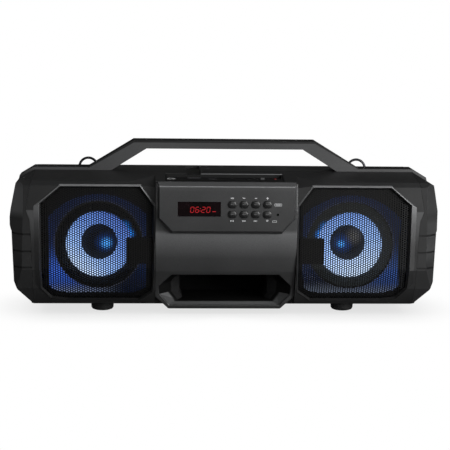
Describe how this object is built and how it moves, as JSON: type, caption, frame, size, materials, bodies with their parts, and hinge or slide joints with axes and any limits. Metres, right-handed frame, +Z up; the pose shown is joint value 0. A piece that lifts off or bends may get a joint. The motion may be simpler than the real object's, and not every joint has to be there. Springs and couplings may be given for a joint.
{
  "type": "portable boombox",
  "caption": "Wide portable boombox with a fixed bridge handle, twin lit loudspeakers behind perforated grilles, a front control panel and a bass port.",
  "frame": {"origin": "centre of the footprint on the rest plane", "axes": "+X to the right as seen from the front, +Y to the back, +Z up; the front faces -Y"},
  "size_m": [0.44, 0.14, 0.178],
  "materials": {
    "housing": "fine moulded texture, satin",
    "end_cap": "soft-touch matt",
    "fascia": "satin painted",
    "port": "matt black",
    "window": "polished dark window",
    "module": "matt black",
    "button": "semi-gloss moulded",
    "board": "solder-mask laminate",
    "plated": "plated sheet steel",
    "red_light": "clear tinted lens",
    "handle": "satin moulded",
    "screw": "black plated steel",
    "grille": "perforated steel sheet, powder coated",
    "diffuser": "translucent, lit blue",
    "light_housing": "matt black",
    "basket": "pressed steel, painted",
    "magnet": "ferrite and plated steel",
    "cone": "pressed fibre, lit pale blue",
    "dust_cap": "polished dark dome",
    "coil": "enamelled winding",
    "surround": "matt rubber roll",
    "spider": "treated cloth",
    "battery": "shrink sleeve",
    "foot": "matt rubber"
  },
  "bodies": {
    "housing": {"front_cover": "housing", "rear_cover": "housing", "left_end_cap": "end_cap", "right_end_cap": "end_cap", "centre_fascia": "fascia", "control_panel": "fascia", "port_duct": "port", "display_window": "window", "display_module": "module", "key_board": "board", "tact_switches": "plated", "top_panel": "port", "connector_board": "board", "usb_port": "plated", "charge_port": "plated", "aux_jack": "module", "power_switch_body": "plated", "charge_led": "red_light", "handle": "handle", "handle_screws": "screw", "left_strap_loop": "screw", "right_strap_loop": "screw", "left_grille": "grille", "right_grille": "grille", "left_baffle": "housing", "right_baffle": "housing", "left_diffuser": "diffuser", "right_diffuser": "diffuser", "left_led_housing": "light_housing", "right_led_housing": "light_housing", "left_basket": "basket", "right_basket": "basket", "left_magnet": "magnet", "right_magnet": "magnet", "left_surround": "surround", "right_surround": "surround", "left_spider": "spider", "right_spider": "spider", "driver_screws": "screw", "battery_pack": "battery", "amplifier_board": "board", "feet": "foot", "housing_screws": "screw", "end_cap_screws": "screw"},
    "button_top_1": {"button_top_1": "button"},
    "button_top_2": {"button_top_2": "button"},
    "button_top_3": {"button_top_3": "button"},
    "button_top_4": {"button_top_4": "button"},
    "button_bottom_1": {"button_bottom_1": "button"},
    "button_bottom_2": {"button_bottom_2": "button"},
    "button_bottom_3": {"button_bottom_3": "button"},
    "button_bottom_4": {"button_bottom_4": "button"},
    "power_knob": {"power_switch_knob": "button"},
    "left_diaphragm": {"left_cone": "cone", "left_dust_cap": "dust_cap", "left_voice_coil": "coil"},
    "right_diaphragm": {"right_cone": "cone", "right_dust_cap": "dust_cap", "right_voice_coil": "coil"}
  },
  "joints": [
    {"name": "button_top_1_press", "type": "slide", "parent": "housing", "child": "button_top_1", "axis": [0, 1, 0], "range_m": [0, 0.0011], "stiffness_N_per_m": 250},
    {"name": "button_top_2_press", "type": "slide", "parent": "housing", "child": "button_top_2", "axis": [0, 1, 0], "range_m": [0, 0.0011], "stiffness_N_per_m": 250},
    {"name": "button_top_3_press", "type": "slide", "parent": "housing", "child": "button_top_3", "axis": [0, 1, 0], "range_m": [0, 0.0011], "stiffness_N_per_m": 250},
    {"name": "button_top_4_press", "type": "slide", "parent": "housing", "child": "button_top_4", "axis": [0, 1, 0], "range_m": [0, 0.0011], "stiffness_N_per_m": 250},
    {"name": "button_bottom_1_press", "type": "slide", "parent": "housing", "child": "button_bottom_1", "axis": [0, 1, 0], "range_m": [0, 0.0011], "stiffness_N_per_m": 250},
    {"name": "button_bottom_2_press", "type": "slide", "parent": "housing", "child": "button_bottom_2", "axis": [0, 1, 0], "range_m": [0, 0.0011], "stiffness_N_per_m": 250},
    {"name": "button_bottom_3_press", "type": "slide", "parent": "housing", "child": "button_bottom_3", "axis": [0, 1, 0], "range_m": [0, 0.0011], "stiffness_N_per_m": 250},
    {"name": "button_bottom_4_press", "type": "slide", "parent": "housing", "child": "button_bottom_4", "axis": [0, 1, 0], "range_m": [0, 0.0011], "stiffness_N_per_m": 250},
    {"name": "power_switch_slide", "type": "slide", "parent": "housing", "child": "power_knob", "axis": [1, 0, 0], "range_m": [-0.0036, 0]},
    {"name": "left_cone_travel", "type": "slide", "parent": "housing", "child": "left_diaphragm", "axis": [0, -1, 0], "range_m": [-0.003, 0.003], "stiffness_N_per_m": 1200, "deforming": ["left_surround", "left_spider"]},
    {"name": "right_cone_travel", "type": "slide", "parent": "housing", "child": "right_diaphragm", "axis": [0, -1, 0], "range_m": [-0.003, 0.003], "stiffness_N_per_m": 1200, "deforming": ["right_surround", "right_spider"]}
  ]
}
